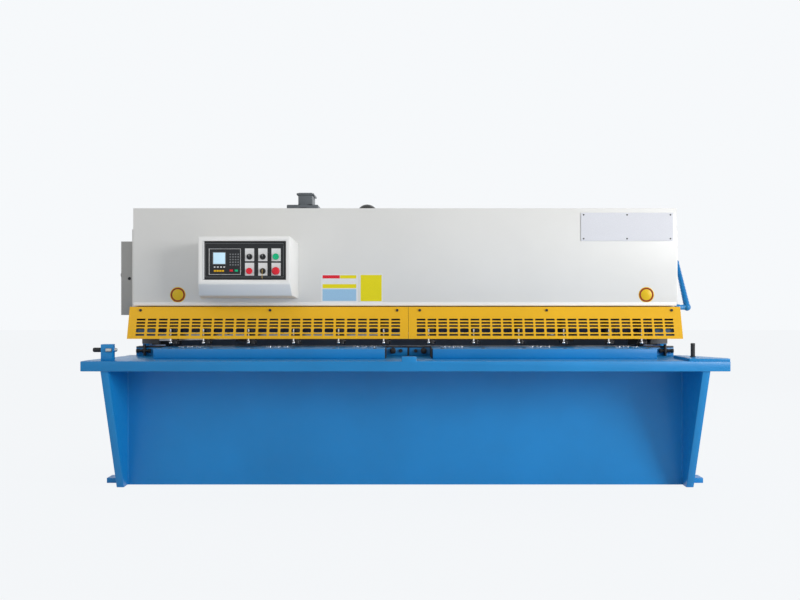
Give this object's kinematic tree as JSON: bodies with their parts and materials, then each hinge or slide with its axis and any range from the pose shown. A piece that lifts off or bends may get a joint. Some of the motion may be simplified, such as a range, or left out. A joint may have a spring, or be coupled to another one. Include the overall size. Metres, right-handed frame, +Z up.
{
  "type": "swing beam shear",
  "caption": "Hydraulic swing beam shear for sheet metal: bed, swinging upper blade, hold-down row, finger guards, hood, console and rear gauge.",
  "frame": {"origin": "on the floor, in the middle of the machine's length and depth", "axes": "+X along the blades to the operator's right, +Y from the operator's side to the back, +Z up"},
  "size_m": [3.84, 1.72, 1.924],
  "materials": {
    "blue_paint": "satin",
    "frame_paint": "satin",
    "grey_paint": "satin",
    "yellow_paint": "satin",
    "blade_steel": "ground",
    "machined_steel": "machined",
    "chrome": "polished",
    "black_steel": "satin",
    "motor_grey": "satin",
    "black_plastic": "matte",
    "white_plastic": "gloss",
    "green_plastic": "gloss",
    "red_plastic": "gloss",
    "beam_paint": "satin"
  },
  "bodies": {
    "frame": {"left_side_frame": "frame_paint", "right_side_frame": "frame_paint", "anchor_feet": "blue_paint", "apron_plate": "blue_paint", "bed_support": "blue_paint", "work_table": "blue_paint", "table_rail": "blue_paint", "blade_bed": "blue_paint", "bed_top_plate": "machined_steel", "lower_blade": "blade_steel", "ball_transfers": "chrome", "bed_adjusters": "black_steel", "left_stop_block": "blue_paint", "right_corner_pin": "blue_paint", "delivery_chute": "blue_paint", "rear_tie_tube": "blue_paint", "hold_down_beam": "grey_paint", "hold_down_cylinders": "black_steel", "hood": "grey_paint", "finger_guard_left": "yellow_paint", "finger_guard_right": "yellow_paint", "pivot_pins": "black_steel", "main_cylinders": "black_steel", "oil_tank": "blue_paint", "drive_motor": "motor_grey", "valve_block": "motor_grey", "filler_filter": "motor_grey", "hold_down_pipe": "blue_paint", "control_console": "grey_paint", "control_panel": "black_plastic", "display_unit": "black_plastic", "switch_plates": "white_plastic", "electrical_cabinet": "grey_paint"},
    "beam": {"swing_beam": "beam_paint", "beam_top_plate": "beam_paint", "beam_ribs": "beam_paint", "beam_arms": "beam_paint", "torque_tube": "beam_paint", "upper_blade": "blade_steel", "gauge_guides": "black_steel", "gauge_bar": "beam_paint", "gauge_drive": "black_steel"},
    "hold_downs": {"hold_down_feet": "black_steel"},
    "rods": {"cylinder_rods": "chrome"},
    "door": {"cabinet_door": "grey_paint"},
    "start": {"start_button": "green_plastic"},
    "stop": {"stop_button": "red_plastic"},
    "emergency": {"emergency_stop": "red_plastic"},
    "mode": {"mode_selector": "black_plastic"},
    "stroke": {"stroke_selector": "black_plastic"},
    "key": {"key_switch": "chrome"}
  },
  "joints": [
    {"name": "beam_swing", "type": "hinge", "parent": "frame", "child": "beam", "pos_m": [0, 0.47, 0.96], "axis": [1, 0, 0], "range_deg": [0, 10.5]},
    {"name": "hold_down_press", "type": "slide", "parent": "frame", "child": "hold_downs", "axis": [0, 0, -1], "range_m": [0, 0.01]},
    {"name": "rod_extend", "type": "slide", "parent": "frame", "child": "rods", "axis": [0, 0, -1], "range_m": [0, 0.071]},
    {"name": "door_open", "type": "hinge", "parent": "frame", "child": "door", "pos_m": [-1.896, 0.33, 1.318], "axis": [0, 0, -1], "range_deg": [0, 110]},
    {"name": "start_push", "type": "slide", "parent": "frame", "child": "start", "axis": [0, 1, 0], "range_m": [0, 0.004], "stiffness_N_per_m": 600},
    {"name": "stop_push", "type": "slide", "parent": "frame", "child": "stop", "axis": [0, 1, 0], "range_m": [0, 0.004], "stiffness_N_per_m": 600},
    {"name": "emergency_push", "type": "slide", "parent": "frame", "child": "emergency", "axis": [0, 1, 0], "range_m": [0, 0.004]},
    {"name": "mode_turn", "type": "hinge", "parent": "frame", "child": "mode", "pos_m": [-0.974, -0.521, 1.443], "axis": [0, 1, 0], "range_deg": [-45, 45]},
    {"name": "stroke_turn", "type": "hinge", "parent": "frame", "child": "stroke", "pos_m": [-0.891, -0.521, 1.443], "axis": [0, 1, 0], "range_deg": [-45, 45]},
    {"name": "key_turn", "type": "hinge", "parent": "frame", "child": "key", "pos_m": [-0.891, -0.521, 1.353], "axis": [0, 1, 0], "range_deg": [0, 90]}
  ],
  "couplings": [
    {"joint": "rod_extend", "follows": "beam_swing", "m_per_rad": 0.38}
  ]
}
